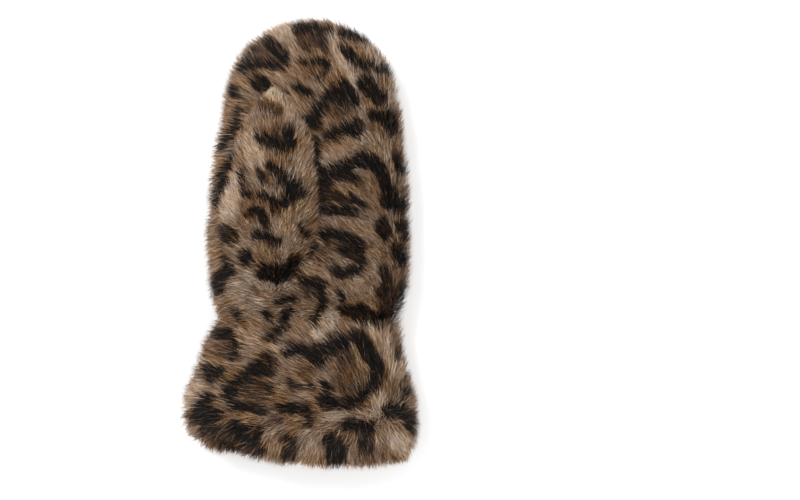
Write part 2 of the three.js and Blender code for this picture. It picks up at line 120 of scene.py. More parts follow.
# The thumb's lobe, gusset and stall together, in millimetres from its low end to its tip
LOBE = table(
    "y middle half top base",
    (-34.0, -16.2, 6.2, 35.8, 20.0),
    (-27.0, -16.7, 11.7, 42.2, 20.0),
    (-12.7, -18.4, 19.8, 50.6, 20.0),
    (2.9, -19.8, 25.0, 57.6, 22.0),
    (21.4, -19.0, 26.1, 62.1, 30.0),
    (37.0, -16.8, 23.5, 64.0, 34.0),
    (54.4, -15.4, 20.4, 64.6, 34.3),
    (71.8, -15.0, 16.4, 64.0, 34.8),
    (84.6, -15.2, 10.9, 61.4, 37.0),
    (92.1, -14.9, 6.4, 57.0, 42.3),
    (95.0, -13.9, 0.3, 52.5, 49.0),
)
LOBE_PLACES = np.concatenate([np.linspace(-30.0, 84.0, 40), np.linspace(86.0, 93.1, 9)])

# Which way the fur lies, root to tip, in degrees turned from +X towards +Y, at places (x, y)
UPPER_COMB = [
    (-40, 112, 140), (-15, 128, 130), (0, 118, 127), (30, 125, 118), (50, 105, 124), (62, 70, 128),
    (25, 90, 128), (25, 54, 142), (60, 35, 132), (20, 20, 146), (42, -8, 150), (62, -30, 120),
    (-45, 85, 165), (-52, 50, 188), (-57, 10, 200), (-56, -15, 200), (-48, -36, 212),
    (-20, -38, 150),
    (10, -35, 140), (40, -40, 128), (-50, -54, 165), (-60, -68, 150), (-44, -85, 155),
    (-66, -100, 172), (-66, -116, 200), (-30, -100, 152), (-6, -85, 148), (25, -62, 136),
    (30, -85, 128), (52, -70, 118), (66, -66, 75), (72, -95, 20), (55, -98, 105), (20, -108, 165),
    (-52, -126, 245), (-20, -130, 262), (10, -134, 266), (38, -135, 276), (60, -128, 292),
    (70, -116, 318), (-35, -119, 215), (0, -121, 235), (22, -120, 250), (40, -119, 268),
    (56, -116, 300), (40, -106, 140),
]
THUMB_COMB = [
    (-13, 92, 92), (-30, 78, 122), (-38, 60, 128), (-44, 35, 132), (-48, 10, 140), (-14, 60, 98),
    (2, 40, 76), (0, 70, 84), (-4, 84, 108), (-20, 20, 104), (6, 10, 70), (-20, -12, 112),
    (-34, -14, 128), (-6, -22, 78), (-16, -32, 96),
]

# The camera looks straight down: where it stands in the frame, in metres, and its lens
CAMERA = {"place": (0.0623, -0.0008, 1.421), "lens": 100.0}
FLOOR_HALF = 60.0

# Tones of the pattern, from black to pale tan, and how much darker its ground is on the cuff
BLACK, UMBER, RUST, GROUND, PALE = 0.02, 0.3, 0.4, 0.58, 0.8
TONES = {
    "black": BLACK, "soot": 0.08, "smoke": 0.18, "umber": UMBER, "rust": RUST, "amber": 0.5,
    "tan": 0.68, "pale": PALE,
}
CUFF_SHADE = 0.04


def charted(rows):
    """The marks of a chart: each one's tone, half its width, and the line it follows."""
    marks = []
    for row in rows.strip().splitlines():
        look, line = row.split(":")
        tone, half_width = look.split()
        places = [tuple(map(float, place.split())) for place in line.split(",")]
        marks.append((TONES[tone], float(half_width), places))
    return marks


# The pattern, charted as seen from the camera and true to size at this height
CHART_HEIGHT = 20.0
UPPER_MARKS = charted("""
pale 5: -17 134, -7 137
pale 4: 20 134, 27 116, 35 103
pale 5: 43 127, 50 120
pale 4: 58 111, 60 98
tan 4: -4 123, -12 107
tan 5: 16 56, 41 69
tan 4.5: 47 66, 58 45
tan 7: -42 -27, -29 -41
tan 5: 35 -24
pale 4: 21 -45, 10 -55
pale 4.5: 47 -52, 56 -63, 62 -79
tan 4: -17 -65
tan 5: -35 -57, -27 -58
pale 4: -66 -89, -72 -102
tan 4: 13 -107, 42 -106
pale 4.5: 50 -95, 46 -107
pale 8: 63 -125
tan 6: 6 -128
tan 3.5: -19 -120, -14 -129
umber 7.7: -24 122
tan 3: -6 93, 0 88
umber 7: -59 -117, -46 -125, -30 -129
umber 6: 29 -71
smoke 5: 60 -36, 53 -42
smoke 4: 22 31, 29 27
rust 6.6: 7 110
umber 7.7: 23 87
umber 8.8: 12 35
amber 7.7: 43 38
rust 5.5: 18 1
umber 5.5: 5 -28
rust 9.9: 28 -83
umber 7.7: -28 -93
umber 8.8: 57 -33
rust 4.4: -51 -66
rust 6.6: 2 -77
umber 5.5: -34 -99
rust 5.5: 13 -8
black 3.4: -3 138, 7 138, 17 136
umber 5: 2 129, 12 130
black 3.3: 26 135, 33 134, 43 130
black 3.7: -21 130, -17 126, -10 119, -13 114
black 3.5: -37 112, -28 115, -13 113
smoke 2: -30 125, -36 117
black 2.7: 0 116, 7 117, 17 116, 18 112, 12 106
smoke 2.2: 2 126, 5 125
smoke 2.2: 12 128, 16 123
black 4.9: -28 104, -23 101
black 2.7: -3 100, 6 97
black 3.3: 27 126, 33 118, 43 114, 56 111
black 4: 27 102, 33 93
black 4: 27 101, 18 96, 10 86, 9 77
black 5.5: 23 97, 25 95
black 4.7: 39 104, 46 98, 51 93
black 4.3: 47 82, 57 81, 58 73
black 4.2: 17 70, 28 73, 36 77, 35 71
black 3.2: 2 81, 8 75
black 3: 9 66, 8 57, 10 46
black 5.4: 13 44, 21 47, 29 51, 37 54, 44 54
black 4.3: 44 54, 50 49, 53 42, 55 35, 59 29
soot 3.5: 14 39, 23 44, 34 42
soot 2.2: 31 32, 40 24
black 3: 11 23, 23 22, 34 21
smoke 4.9: 11 33, 18 31
black 3.5: 61 56, 64 48
black 5.2: 54 29, 63 26
black 4.9: 51 14, 53 8
black 4: 64 13, 67 7
black 3.5: 61 -2, 64 -9
black 4.3: 14 7, 18 8
black 3.5: 18 8, 26 7, 34 3, 39 -1
black 2.7: 5 -6, 8 -1
smoke 3.6: 26 -3, 38 -7
black 2.7: -44 99, -42 96
soot 2.9: -40 85, -45 69, -51 61
black 4: -38 61, -43 54, -49 44, -53 30, -52 25
black 4.9: -47 1, -45 -15, -51 -21, -52 -27
smoke 3.1: -43 -41, -40 -46
black 3.5: 26 -2, 36 -1
black 3.5: 21 -15, 26 -18, 34 -15
soot 2.1: 41 -9, 36 -17
black 4.7: 62 -2, 65 -9
smoke 3.9: 53 -16, 55 -23, 51 -30
black 2.7: 65 -24, 66 -31
black 2.7: 64 -40, 58 -44
soot 4.5: 28 -41, 34 -41, 40 -45, 49 -46
black 3.2: 36 -38, 40 -39
soot 1.8: 24 -28, 26 -34
black 3.5: 1 -21, 7 -22, 14 -25
black 3: 13 -29, 14 -37, 10 -44, 8 -48
black 3: -15 -36, -9 -33, -6 -34
black 2.7: -23 -42, -20 -45
black 3.5: -9 -42, -12 -51, -20 -57
black 4: -53 -57, -45 -56, -42 -63, -43 -70
black 4.3: -60 -78, -56 -83, -52 -79
black 4.9: -22 -70, -21 -78, -28 -77, -34 -81, -42 -88, -46 -94
black 2.5: -21 -88, -20 -93
soot 2.7: -44 -101, -34 -101, -25 -105
black 6.1: -60 -98, -65 -109, -56 -107
black 6: -42 -115, -37 -119, -30 -119
black 3.5: -12 -103, -6 -102, 3 -104, 4 -112
soot 2.2: -16 -110, -15 -112
black 4.4: -9 -67, -2 -64, 5 -68, 11 -73
black 6.2: 12 -66, 19 -63, 25 -61
black 4.7: 32 -57, 38 -57, 42 -65, 49 -75, 46 -86, 40 -92, 34 -98, 24 -100, 15 -100, 13 -96
black 3: 14 -86, 17 -90
black 2.5: 5 -86, 6 -89
soot 3.2: -8 -86, -5 -89
black 5.4: 57 -103, 63 -104, 67 -106, 70 -111
black 2.7: 67 -91, 68 -94
black 5.4: 30 -114, 37 -115, 43 -118
smoke 4.9: 41 -123, 42 -130
black 6.5: 20 -125, 23 -129, 23 -135
smoke 4.5: -9 -123, -6 -127, -8 -134
smoke 4.5: -54 -118, -61 -118
soot 2.9: -35 -124, -25 -132
soot 2.7: -50 -126, -45 -129
black 3.4: 69 -113, 70 -116
black 1.8: 61 -65, 62 -69
""")
THUMB_MARKS = charted("""
pale 5: -18 96, -6 85
pale 6: -32 66, -27 53
pale 6: -42 44, -46 23
tan 6: 2 74, 5 50
tan 4: 5 22
tan 7: -11 13, -7 -2
pale 4: -36 -18, -25 -26, -11 -30, -4 -23
rust 5.5: -17 44
rust 4.4: -15 73
umber 4.2: -23 89, -15 85
black 4.2: -26 69, -20 66, -11 63, -6 65, -7 73
smoke 2.8: -38 48, -37 39
smoke 2.8: -27 49, -24 43
black 3.5: -19 51, -14 48, -11 44
black 4.7: -10 42, -4 38, 2 35, -4 32, -10 28, -15 25
black 2.9: -35 33, -24 32, -16 29
soot 2.6: -34 20, -28 23, -23 19, -21 13
black 5.6: -49 9, -45 6
tan 2.5: -41 -2, -36 3
soot 3.2: -28 8, -19 5, -14 2
black 2.7: 2 12, 5 7
black 4.2: -36 -5, -35 -8
black 5.7: -22 -16, -14 -18, -6 -15, -3 -11
soot 2.1: -17 3, -15 2
""")

# How long the hairs are, and half their width
HAND_HAIR = 12.0
CUFF_HAIR = 13.0
HEM_HAIR = 11.0
THUMB_HAIR = 11.0
RIM_HAIR = 6.0
HALF_WIDTH = 0.22

# How far a hair's tip stands off the backing, as a share of its length: on the flat, more
# where the comb leans out of the surface, on the right-hand side, and at most for a stray hair
LIFT = 0.36
LEAN_OUT = 0.1
SIDE_LIFT = 0.38
STRAY = 0.65

# How far off a hair may take its comb from, and how its turn from that varies, in degrees:
# in waves, in ripples and hair by hair. At the cuff's parting it is ruffled more.
MINGLE = 4.0
WAVES, RIPPLES, UNEVEN = 15, 9, 9
PARTING_Y = -112.0
PARTING_WIDTH = 11.0
RUFFLED = 1.6

# Hairs to a tuft, how far a tuft draws them together, and how late on the hair it bends them
CLUMP_SIZE = 12
CLUMP_PULL = 0.62
BENDING = 1.6

# How closely tips follow the form where it curves away, and their least height off the floor
TUCK = 0.85
FLOOR_CLEARANCE = 0.4

# The part of a hair that shows, as shares of it from its root, and the share of pale hairs
SEEN_FROM, SEEN_TO = 0.5, 1.05
PALE_SHARE = 0.08

# How many hairs each piece of fur has, and the solids it replaces
HAIRS = {
    "fur_palm_upper": (63000, ("palm_panel",)),
    "fur_palm_lower": (63000, ("palm_panel",)),
    "fur_thumb": (52000, ("thumb", "thumb_gusset")),
    "fur_cuff_top": (65000, ("cuff",)),
    "fur_back": (31000, ("back_panel",)),
    "fur_cuff_under": (29000, ("cuff",)),
    "fur_rim": (6000, ("cuff",)),
}
FIRST_SEED = 11

# Where the piece of fur nearer the fingertips takes over, as a share of the hand's length
PALM_SPLIT = 0.47

# Where the charted pattern gives way to the plain one: how far the surface faces up
CHART_FROM, CHART_TO = -0.3, 0.0

# The fur's map: tone runs along u, and the way from root to tip, which carries painted root shade and
# a painted tip highlight, takes this much of v
MAP_HALF_WIDTH = 0.002
MAP_HEIGHT = 0.25

# The patch's visible leather and its stitches at both short ends, and how near hairs come
PATCH_FACE = 0.45
PATCH_CORNER = 1.6
STITCH = {"length": 2.1, "pitch": 2.9, "radius": 0.2, "inset": 1.5, "count": 6}
PATCH_MARGIN = 2.5

# The skin under the fur and the hollow inside it, for the hand and for the cuff
HAND_PELT = {
    "rows": HAND,
    "height": PALM_HEIGHT,
    "length": HAND_LENGTH - TIP_PILE,
    "half": HAND_WIDTH / 2 - SIDE_PILE,
    "top": PALM_HEIGHT - PILE_DEPTH,
    "floor": UNDER_PILE,
    "wrist": {"left": 42.0, "right": 54.0, "top": 28.5},
    "bow": 0.0,
    "gathers": GATHERS["depth"],
}
CUFF_PELT = {
    **HAND_PELT,
    "rows": CUFF,
    "height": CUFF_HEIGHT,
    "length": SIDE_PILE - CUFF_LENGTH,
    "half": CUFF_WIDTH / 2 - SIDE_PILE,
    "top": CUFF_HEIGHT - PILE_DEPTH,
    "bow": HEM_BOW,
}
HAND_HOLLOW = {
    **HAND_PELT,
    "length": HAND_LENGTH - HOLLOW["tip"],
    "half": HAND_WIDTH / 2 - HOLLOW["side"],
    "top": PALM_HEIGHT - HOLLOW["palm"],
    "floor": HOLLOW["floor"],
    "wrist": {"left": 35.0, "right": 47.0, "top": 25.0},
    "gathers": 0.0,
}
CUFF_HOLLOW = {
    **HAND_HOLLOW,
    "rows": CUFF,
    "height": CUFF_HEIGHT,
    "length": SIDE_PILE - CUFF_LENGTH,
    "half": CUFF_WIDTH / 2 - HOLLOW["side"],
    "top": CUFF_HEIGHT - HOLLOW["cuff"],
    "bow": HEM_BOW,
}


def between(rows, column, at):
    """A column's value at places along it, on a smooth curve through the rows."""
    keys = next(iter(rows.values()))
    values = rows[column]
    slopes = np.empty_like(values)
    slopes[1:-1] = (values[2:] - values[:-2]) / (keys[2:] - keys[:-2])
    slopes[0] = (values[1] - values[0]) / (keys[1] - keys[0])
    slopes[-1] = (values[-1] - values[-2]) / (keys[-1] - keys[-2])
    k = np.clip(np.searchsorted(keys, at, side="right") - 1, 0, len(keys) - 2)
    step = keys[k + 1] - keys[k]
    t = np.clip((at - keys[k]) / step, 0.0, 1.0)
    return (
        (2 * t**3 - 3 * t**2 + 1) * values[k]
        + (t**3 - 2 * t**2 + t) * slopes[k] * step
        + (3 * t**2 - 2 * t**3) * values[k + 1]
        + (t**3 - t**2) * slopes[k + 1] * step
    )


def section_point(middle, half, top, seam, base, turn):
    """x and z on a section. turn runs from the right-hand seam over the top and under."""
    across, up = np.cos(turn), np.sin(turn)
    x = middle + half * np.sign(across) * np.abs(across) ** (2 / SQUARENESS)
    rounded = np.abs(up) ** (2 / SQUARENESS)
    under = np.minimum(1.0, FLATTENED * rounded)
    z = np.where(up >= 0, seam + (top - seam) * rounded, seam - (seam - base) * under)
    return x, z


def body_point(form, along, turn):
    """Points on a form of the hand or cuff, with the wrist's gathers and the hem's bow."""
    along, turn = np.broadcast_arrays(along, turn)
    waist = np.clip(between(form["rows"], "waist", along), 0.0, 1.0)

    def column(name):
        return between(form["rows"], name, along)

    def mixed(own, wrist):
        return own + (wrist - own) * waist

    rise = (column("top") * form["height"] - SEAM_HEIGHT) / (form["height"] - SEAM_HEIGHT)
    left = mixed(column("left") * form["half"], form["wrist"]["left"])
    right = mixed(column("right") * form["half"], form["wrist"]["right"])
    top = mixed(SEAM_HEIGHT + (form["top"] - SEAM_HEIGHT) * rise, form["wrist"]["top"])
    drop = mixed(column("base"), WRIST_BASE_SHARE)
    base = form["floor"] + (SEAM_HEIGHT - form["floor"]) * drop
    middle = (right - left) / 2
    x, z = section_point(middle, (right + left) / 2, top, SEAM_HEIGHT, base, turn)
    y = WRIST_Y + along * form["length"]
    fold = 0.5 - 0.5 * np.cos(GATHERS["count"] * turn)
    inward = form["gathers"] * fold * np.exp(-(((y - WRIST_Y) / GATHERS["reach"]) ** 2))
    shrink = 1 - inward / np.maximum(np.hypot(x - middle, z - SEAM_HEIGHT), 1.0)
    x = middle + (x - middle) * shrink
    z = SEAM_HEIGHT + (z - SEAM_HEIGHT) * shrink
    y = y + along * form["bow"] * ((x / form["half"] - HEM_SKEW) / (1 + HEM_SKEW)) ** 2
    return np.stack([x, y, z], axis=-1)


def lobe_point(y, turn, inset):
    """Points on the thumb's lobe, gusset and stall together, an inset under its skin."""
    y, turn = np.broadcast_arrays(y, turn)
    half = np.maximum(between(LOBE, "half", y) - inset, 0.2)
    top = between(LOBE, "top", y) - inset
    base = between(LOBE, "base", y) + inset
    middle_z = (top + base) / 2
    top = np.maximum(top, middle_z + 0.2)
    base = np.minimum(base, middle_z - 0.2)
    # The seam between gusset and stall draws the lobe in on its left
    crease = THUMB_CREASE["depth"] * np.exp(-(((y - THUMB_SEAM_Y) / THUMB_CREASE["reach"]) ** 2))
    leftward = np.clip(-np.cos(turn) + 0.25, 0.0, 1.0)
    shrink = 1 - crease * leftward / np.maximum(half, 6.0)
    x, z = section_point(0.0, half * shrink, top - crease * leftward, middle_z, base, turn)
    return np.stack([x + between(LOBE, "middle", y), y, z], axis=-1)


def outward_normals(grid):
    """Unit normals of a grid of points whose rows run along and columns round the form."""
    onward = np.gradient(grid, axis=0)
    round_it = np.gradient(grid, axis=1)
    normals = np.cross(onward, round_it)
    lengths = np.linalg.norm(normals, axis=-1, keepdims=True)
    normals = normals / np.maximum(lengths, 1e-9)
    middle = grid.mean(axis=1, keepdims=True)
    inward = ((grid - middle) * normals).sum(axis=-1, keepdims=True) < 0
    return np.where(inward.mean() > 0.5, -normals, normals)


def drift(places, size, seed):
    """Smooth noise from -1 to 1 at places, with bumps of a size in millimetres."""
    scaled = places / size + 17.3 * seed
    cell = np.floor(scaled).astype(np.int64)
    part = scaled - cell
    part = part * part * (3 - 2 * part)
    total = np.zeros(len(places))
    for corner in np.ndindex(2, 2, 2):
        corner = np.array(corner)
        spots = (cell + corner) @ np.array([73856093, 19349663, 83492791]) + 101 * seed
        spots = (spots ^ (spots >> 13)) * 1274126177
        value = ((spots ^ (spots >> 16)) & 0xFFFF) / 32767.5 - 1.0
        total += value * np.prod(np.where(corner == 1, part, 1 - part), axis=1)
    return total


def combed(directions, places):
    """The way the fur lies at places, in radians, and how far the directions near agree."""
    spots = np.array(directions, float)
    squared = ((places[:, None] - spots[None, :, :2]) ** 2).sum(axis=-1) + 9.0
    weight = squared**-1.6
    angles = np.radians(spots[:, 2])
    up, across = weight @ np.sin(angles), weight @ np.cos(angles)
    return np.arctan2(up, across), np.hypot(up, across) / weight.sum(axis=1)


def eased(value, low, high):
    """0 below low, 1 above high, and smooth between them."""
    t = np.clip((value - low) / (high - low), 0.0, 1.0)
    return t * t * (3 - 2 * t)


def distance_to_line(places, line):
    """How far places lie from a line through points in the plane."""
    points = np.array(line, float)
    if len(points) == 1:
        return np.linalg.norm(places - points[0], axis=1)
    nearest = np.full(len(places), 1e9)
    for start, end in zip(points[:-1], points[1:]):
        span = end - start
        share = np.clip((places - start) @ span / (span @ span), 0.0, 1.0)
        reach = np.linalg.norm(places - start - share[:, None] * span, axis=1)
        nearest = np.minimum(nearest, reach)
    return nearest


def toned(places, marks, seed):
    """The pattern's tone at places in the plane, from a chart of marks."""
    solid = np.column_stack([places, np.full(len(places), 5.0 * seed)])
    moved = places + 1.1 * np.column_stack([drift(solid, 5.0, seed), drift(solid, 5.0, seed + 1)])
    tone = GROUND + 0.07 * drift(solid, 16.0, seed + 2) + 0.05 * drift(solid, 5.0, seed + 3)
    tone -= CUFF_SHADE * eased(-places[:, 1], 45.0, 75.0)
    for mark_tone, half_width, line in marks:
        edge = half_width * 0.35 if mark_tone >= UMBER else 0.9
        inside = 1 - eased(distance_to_line(moved, line), half_width - edge, half_width + edge)
        tone = tone + (mark_tone - tone) * inside
    return tone


def on_chart(places):
    """Where the chart, drawn in perspective from above, shows places."""
    eye = np.array(CAMERA["place"]) / MM - (FRAME_X, FRAME_Y, 0.0)
    nearer = (eye[2] - CHART_HEIGHT) / (eye[2] - places[:, 2:3])
    return eye[:2] + (places[:, :2] - eye[:2]) * nearer


def plain_rosettes():
    """Broken rings round rust-brown middles, for the sides and the hidden back."""
    rng = np.random.default_rng(31)
    areas, rings = [], []
    for row, y in enumerate(range(-150, 160, 27)):
        for x in range(-115, 130, 30):
            centre = np.array([x + 15 * (row % 2), y]) + rng.uniform(-5, 5, 2)
            radius = rng.uniform(8.0, 10.5)
            areas.append((RUST, radius * 0.8, [tuple(centre)]))
            turned = rng.uniform(0, 2 * math.pi)
            for part in range(3):
                start = turned + part * 2.09
                sweep = rng.uniform(0.9, 1.6)
                angles = start + np.linspace(0, sweep, 4)
                line = centre + radius * np.column_stack([np.cos(angles), 0.9 * np.sin(angles)])
                rings.append((BLACK, rng.uniform(2.2, 3.6), [tuple(p) for p in line]))
    return areas + rings


ROSETTES = plain_rosettes()


def scattered(grid, weight, count, rng):
    """Places and normals spread at random over a grid of points, denser where weight is more."""
    normals = outward_normals(grid)
    one, two = grid[1:, :-1] - grid[:-1, :-1], grid[:-1, 1:] - grid[:-1, :-1]
    area = np.linalg.norm(np.cross(one, two), axis=-1) * weight(grid, normals)[:-1, :-1]
    chosen = rng.choice(area.size, size=count, p=(area / area.sum()).ravel())
    i, j = np.unravel_index(chosen, area.shape)
    s, t = rng.random((2, count, 1))

    def mixed(values):
        low = values[i, j] * (1 - t) + values[i, j + 1] * t
        high = values[i + 1, j] * (1 - t) + values[i + 1, j + 1] * t
        return low * (1 - s) + high * s

    ups = mixed(normals)
    return mixed(grid), ups / np.linalg.norm(ups, axis=1, keepdims=True)


def over_lobe(places, margin):
    """Whether places lie under the thumb's lobe, a margin inside its outline."""
    half = between(LOBE, "half", places[..., 1]) - margin
    beside = np.abs(places[..., 0] - between(LOBE, "middle", places[..., 1]))
    keys = LOBE["y"]
    tip = keys[-1] - 3.5 * margin
    return (beside < half) & (places[..., 1] > keys[0] + margin) & (places[..., 1] < tip)


def over_patch(places):
    """Whether places lie over the leather patch, or close round it."""
    ends = [np.array(corner.xy) / MM - (FRAME_X, FRAME_Y) for corner in (patch_low, patch_high)]
    flat = places[..., :2]
    near = (flat > ends[0] - PATCH_MARGIN) & (flat < ends[1] + PATCH_MARGIN)
    return near.all(axis=-1) & (places[..., 2] < SEAM_HEIGHT)


def tufts(roots, ups, rng):
    """What draws each hair's tip to the middle of its tuft, and a random number for each tuft."""
    middles = roots[rng.choice(len(roots), len(roots) // CLUMP_SIZE, replace=False)]
    tree = KDTree(len(middles))
    for index, middle in enumerate(middles):
        tree.insert(middle, index)
    tree.balance()
    nearest = np.array([tree.find(root)[1] for root in roots])
    pull = middles[nearest] - roots
    pull -= (pull * ups).sum(axis=1, keepdims=True) * ups
    own = rng.standard_normal(len(middles))[nearest]
    return pull * CLUMP_PULL * rng.uniform(0.4, 1.0, (len(roots), 1)), own


def tucked(grid, tips, rise):
    """What keeps each tip at its own height over the form, where that curves away under it."""
    coarse = grid[::5, ::5].reshape(-1, 3)
    normals = outward_normals(grid)[::5, ::5].reshape(-1, 3)
    tree = KDTree(len(coarse))
    for index, place in enumerate(coarse):
        tree.insert(place, index)
    tree.balance()
    nearest = np.array([tree.find(tip)[1] for tip in tips])
    height = ((tips - coarse[nearest]) * normals[nearest]).sum(axis=1)
    return normals[nearest] * (TUCK * np.clip(rise - height, -9.0, 3.0))[:, None]


def hairs_on(grid, weight, count, directions, marks, length, seed):
    """Every hair's root, lie and tone on one part of the fur, by name."""
    rng = np.random.default_rng(seed)
    roots, ups = scattered(grid, weight, count, rng)
    beside = roots[:, :2] + rng.normal(0.0, MINGLE, (len(roots), 2))
    angle, agreed = combed(directions, beside)
    ruffled = 1 + RUFFLED * np.exp(-(((roots[:, 1] - PARTING_Y) / PARTING_WIDTH) ** 2))
    angle += np.radians(WAVES) * ruffled * drift(roots, 9.0, seed)
    angle += np.radians(RIPPLES) * ruffled * drift(roots, 3.0, seed + 1)
    tangled = 1 - eased(agreed, 0.25, 0.8)
    angle += (np.radians(UNEVEN) + 0.7 * tangled) * rng.standard_normal(len(roots))
    comb = np.column_stack([np.cos(angle), np.sin(angle), np.zeros(len(roots))])
    outward = (comb * ups).sum(axis=1)
    flat = comb - outward[:, None] * ups
    droop = np.array([0.0, 0.0, -0.25]) + 0.25 * ups[:, 2:3] * ups
    flat += droop * (1 - np.linalg.norm(flat, axis=1, keepdims=True))
    flat /= np.maximum(np.linalg.norm(flat, axis=1, keepdims=True), 1e-6)
    long = length(roots) if callable(length) else length
    long = long * rng.uniform(0.72, 1.15, len(roots))
    sideways = 1 - np.abs(ups[:, 2])
    lift = (LIFT + 0.2 * tangled) * rng.uniform(0.65, 1.35, len(roots))
    lift += LEAN_OUT * np.clip(outward, 0, 1)
    lift += SIDE_LIFT * sideways * np.clip(ups[:, 0], 0, 1)
    lift += STRAY * rng.random(len(roots)) ** 5
    lift *= 1 + 0.25 * drift(roots, 11.0, seed + 2)
    rise = long * np.clip(lift, 0.05, 0.9)
    room = (roots[:, 2] - FLOOR_CLEARANCE) / np.maximum(-ups[:, 2], 0.05)
    rise = np.where(ups[:, 2] < 0, np.minimum(rise, 0.8 * room), rise)
    reach = np.sqrt(np.maximum(long**2 - rise**2, 1.0))
    pull, tuft = tufts(roots, ups, rng)
    pull += tucked(grid, roots + flat * reach[:, None] + ups * rise[:, None] + pull, rise)
    share = rng.uniform(SEEN_FROM, SEEN_TO, (len(roots), 1))
    seen = roots + flat * reach[:, None] * share + ups * rise[:, None] * share**0.5
    seen += pull * share**BENDING
    charted = toned(on_chart(seen), marks, 3)
    around = np.sign(seen[:, 0]) * (np.abs(seen[:, 0]) + seen[:, 2])
    plain = toned(np.column_stack([around, seen[:, 1]]), ROSETTES, 7)
    shown = eased(ups[:, 2] + 0.08 * drift(roots, 6.0, seed + 3), CHART_FROM, CHART_TO)
    tone = plain + (charted - plain) * shown
    spread = 0.4 + 0.6 * eased(tone, BLACK, RUST)
    tone += spread * (0.12 * rng.standard_normal(len(roots)) + 0.08 * tuft)
    pale = rng.random(len(roots)) < PALE_SHARE
    tone = np.where(pale, 0.45 * tone + 0.55 * PALE, tone)
    roll = rng.uniform(-1.0, 1.0, (len(roots), 1))
    across = np.cross(flat, ups) * np.cos(roll) + ups * np.sin(roll)
    return {
        "root": roots,
        "up": ups,
        "comb": flat,
        "across": across * rng.uniform(0.7, 1.25, (len(roots), 1)),
        "pull": pull,
        "reach": reach,
        "rise": rise,
        "tone": np.clip(tone, 0.005, 0.995),
    }


def in_frame(points):
    """Own millimetres to the frame's metres."""
    return (np.asarray(points) + (FRAME_X, FRAME_Y, 0.0)) * MM


def node(tree, kind, properties=None, **inputs):
    """A new node, with a value or another node's socket for each input, by name or number."""
    made = tree.nodes.new(kind)
    for name, value in (properties or {}).items():
        setattr(made, name, value)
    for name, value in inputs.items():
        key = name[1:]
        socket = made.inputs[int(key) if key.isdigit() else name.replace("_", " ")]
        if isinstance(value, bpy.types.NodeSocket):
            tree.links.new(value, socket)
        else:
            socket.default_value = value
    return made


def new_tree(name, output, **kinds):
    """A tree of Geometry Nodes with its inputs and one output, and what it is given."""
    tree = bpy.data.node_groups.new(name, "GeometryNodeTree")
    for key, kind in kinds.items():
        label = key.replace("_", " ")
        tree.interface.new_socket(label, in_out="INPUT", socket_type="NodeSocket" + kind)
    tree.interface.new_socket(output, in_out="OUTPUT", socket_type="NodeSocketGeometry")
    return tree, tree.nodes.new("NodeGroupInput").outputs


def ended(tree, geometry, finish):
    """The tree, whose geometry gets its material and goes out."""
    last = node(tree, "GeometryNodeSetMaterial", Geometry=geometry, Material=finish)
    tree.links.new(last.outputs[0], tree.nodes.new("NodeGroupOutput").inputs[0])
    return tree


def fur_tree():
    """Geometry Nodes that grow one hair on each root, bend it and give it its tone."""
    lengths = {"Half_Width": "Float", "Floor_Height": "Float"}
    tree, given = new_tree(
        "grow_fur", "Fur", Roots="Geometry", Hair="Object", **lengths, Finish="Material"
    )

    def attribute(name, kind="FLOAT"):
        kinds = {"data_type": kind}
        return node(tree, "GeometryNodeInputNamedAttribute", kinds, Name=name).outputs[0]

    def maths(operation, **values):
        return node(tree, "ShaderNodeMath", {"operation": operation}, **values).outputs[0]

    def vector(operation, **values):
        return node(tree, "ShaderNodeVectorMath", {"operation": operation}, **values).outputs[0]

    axes = {"primary_axis": "Z", "secondary_axis": "Y"}
    up, comb = attribute("up", "FLOAT_VECTOR"), attribute("comb", "FLOAT_VECTOR")
    turned = node(tree, "FunctionNodeAxesToRotation", axes, Primary_Axis=up, Secondary_Axis=comb)
    size = node(tree, "ShaderNodeCombineXYZ", X=1.0, Y=attribute("reach"), Z=attribute("rise"))
    hair = node(tree, "GeometryNodeObjectInfo", Object=given["Hair"])
    grown = node(
        tree,
        "GeometryNodeInstanceOnPoints",
        Points=given["Roots"],
        Instance=hair.outputs["Geometry"],
        Rotation=turned.outputs[0],
        Scale=size.outputs[0],
    )
    real = node(tree, "GeometryNodeRealizeInstances", Geometry=grown.outputs[0])
    share, side = attribute("share"), attribute("side")
    width = maths("MULTIPLY", _0=side, _1=given["Half Width"])
    widened = vector("SCALE", _0=attribute("across", "FLOAT_VECTOR"), Scale=width)
    late = maths("POWER", _0=share, _1=BENDING)
    drawn = vector("SCALE", _0=attribute("pull", "FLOAT_VECTOR"), Scale=late)
    position = node(tree, "GeometryNodeInputPosition").outputs[0]
    bent = vector("ADD", _0=vector("ADD", _0=position, _1=widened), _1=drawn)
    parts = node(tree, "ShaderNodeSeparateXYZ", Vector=bent)
    height = maths("MAXIMUM", _0=parts.outputs[2], _1=given["Floor Height"])
    placed = node(tree, "ShaderNodeCombineXYZ", X=parts.outputs[0], Y=parts.outputs[1], Z=height)
    shaped = node(
        tree, "GeometryNodeSetPosition", Geometry=real.outputs[0], Position=placed.outputs[0]
    )
    tone = maths("MULTIPLY_ADD", _0=side, _1=MAP_HALF_WIDTH, _2=attribute("tone"))
    along = maths("MULTIPLY", _0=share, _1=MAP_HEIGHT)
    mapped = node(tree, "ShaderNodeCombineXYZ", X=tone, Y=along)
    stored = node(
        tree,
        "GeometryNodeStoreNamedAttribute",
        {"data_type": "FLOAT2", "domain": "CORNER"},
        Geometry=shaped.outputs[0],
        Name="OFBake",
        Value=mapped.outputs[0],
    )
    return ended(tree, stored.outputs[0], given["Finish"])


